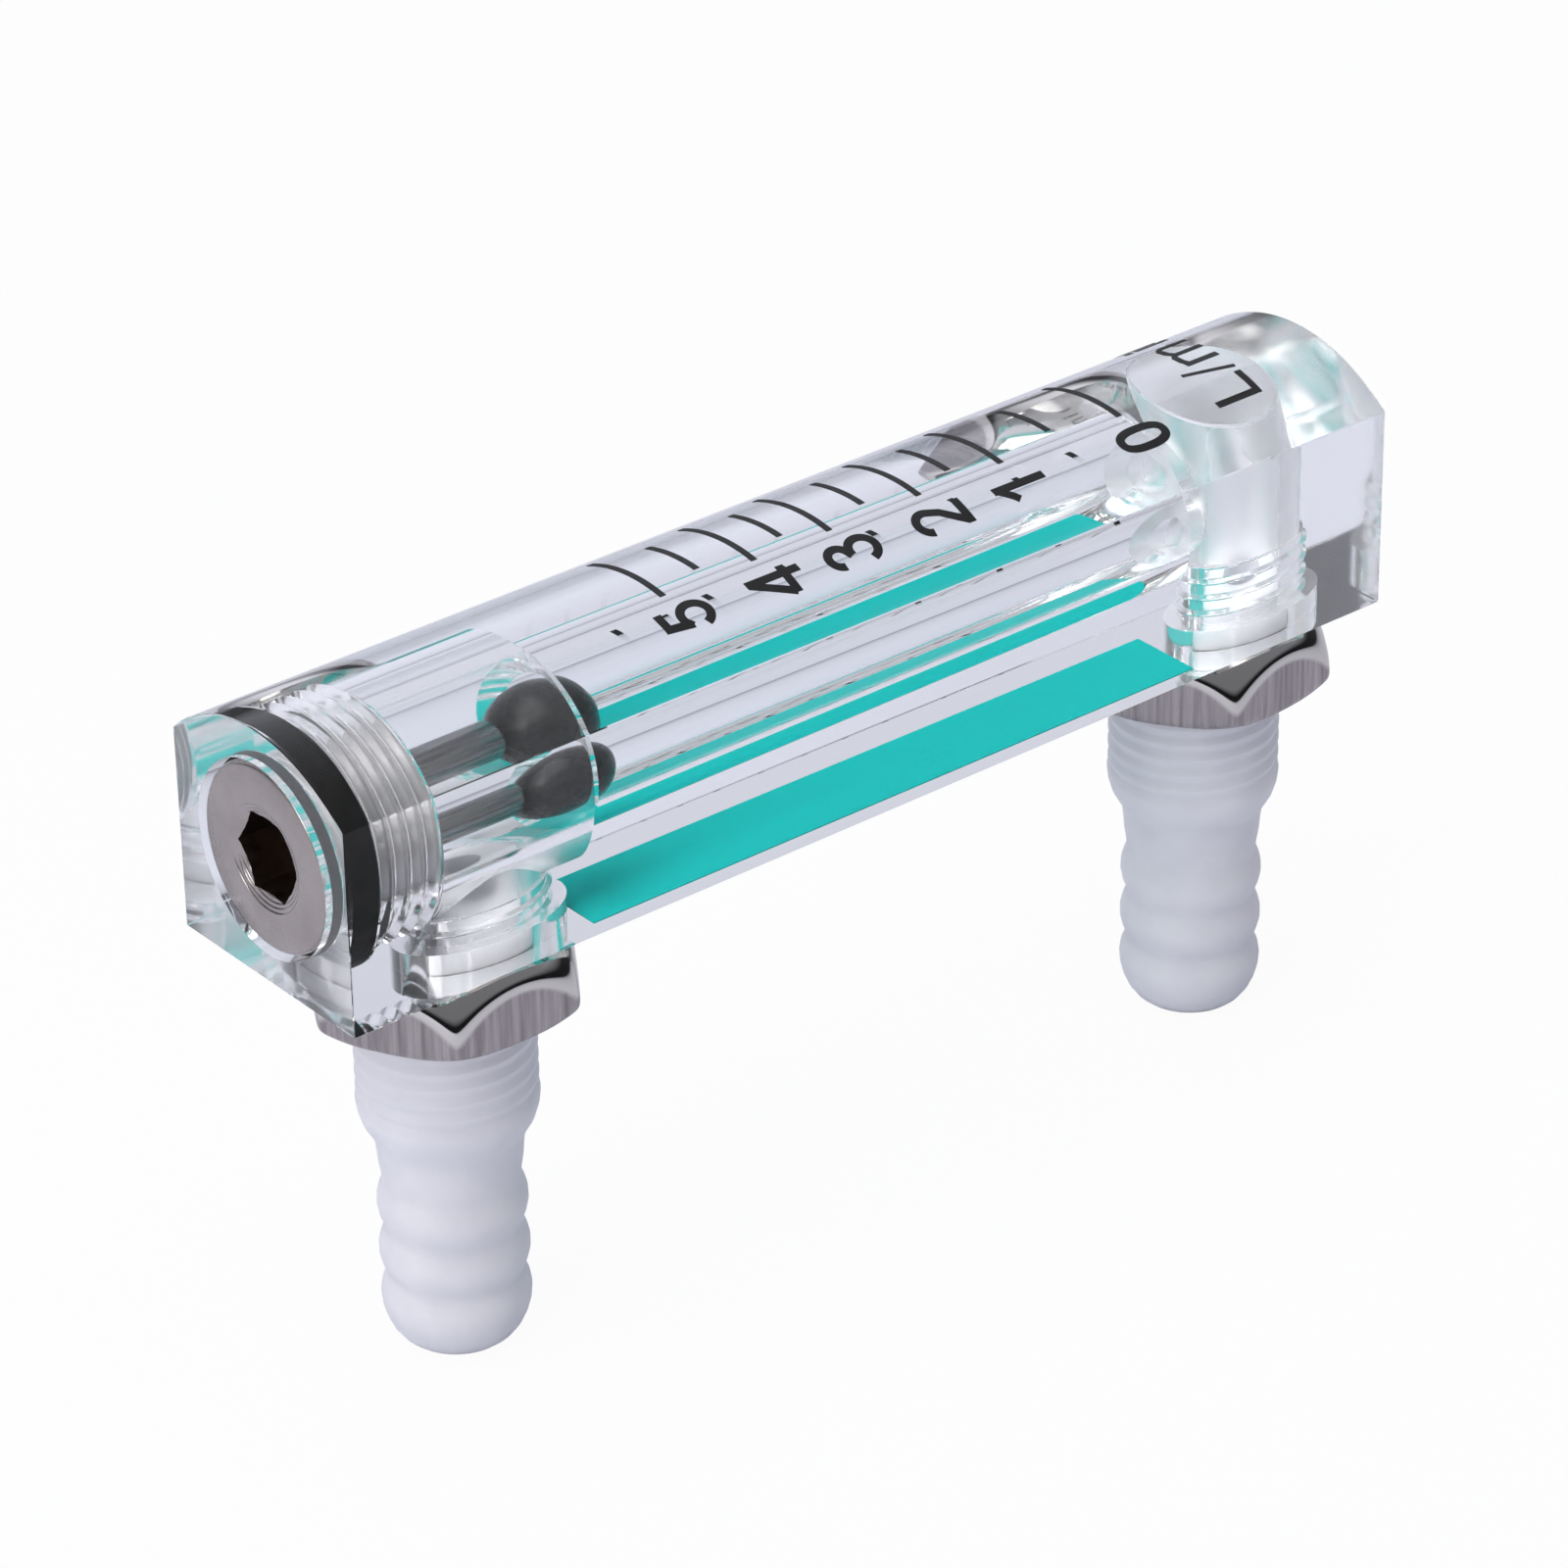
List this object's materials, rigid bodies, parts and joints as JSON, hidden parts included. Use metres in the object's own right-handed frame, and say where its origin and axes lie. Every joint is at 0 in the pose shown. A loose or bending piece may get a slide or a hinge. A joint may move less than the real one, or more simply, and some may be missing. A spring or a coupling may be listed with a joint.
{
  "type": "oxygen flowmeter",
  "caption": "Clear D-section block with a tapered float tube, a scale, a screw plug in one end, and barbed hose stems with lock nuts at the back.",
  "frame": {"origin": "middle of the block's flat back face, halfway between the axes of the two stems", "axes": "+X along the float tube from the plug end (full flow, up in use) to the zero end, +Z out of the round scale front, -Y the side of the numbers; the stems point to -Z"},
  "size_m": [0.0733, 0.015, 0.0417],
  "materials": {
    "clear_acrylic": "clear polished acrylic",
    "plated_plug": "turned and nickel plated",
    "steel_rod": "turned steel",
    "black_rubber": "matt rubber",
    "black_ball": "glossy black",
    "white_nylon": "milky white nylon",
    "plated_nut": "nickel plated, flats finely brushed",
    "teal_band": "even paint",
    "black_print": "printed ink"
  },
  "bodies": {
    "meter_body": {"body_block": "clear_acrylic", "end_plug": "plated_plug", "float_stop_rod": "steel_rod", "plug_o_ring": "black_rubber", "hose_barb_outlet": "white_nylon", "hose_barb_inlet": "white_nylon", "back_stripe": "teal_band", "scale_marks": "black_print"},
    "ball_float": {"float_ball": "black_ball"},
    "outlet_nut": {"lock_nut_outlet": "plated_nut"},
    "inlet_nut": {"lock_nut_inlet": "plated_nut"}
  },
  "joints": [
    {"name": "ball_float_slide", "type": "slide", "parent": "meter_body", "child": "ball_float", "axis": [1, 0, 0.0062], "range_m": [0, 0.03956]},
    {"name": "outlet_nut_slide", "type": "slide", "parent": "meter_body", "child": "outlet_nut", "axis": [0, 0, -1], "range_m": [0, 0.0066]},
    {"name": "inlet_nut_slide", "type": "slide", "parent": "meter_body", "child": "inlet_nut", "axis": [0, 0, -1], "range_m": [0, 0.0066]}
  ]
}
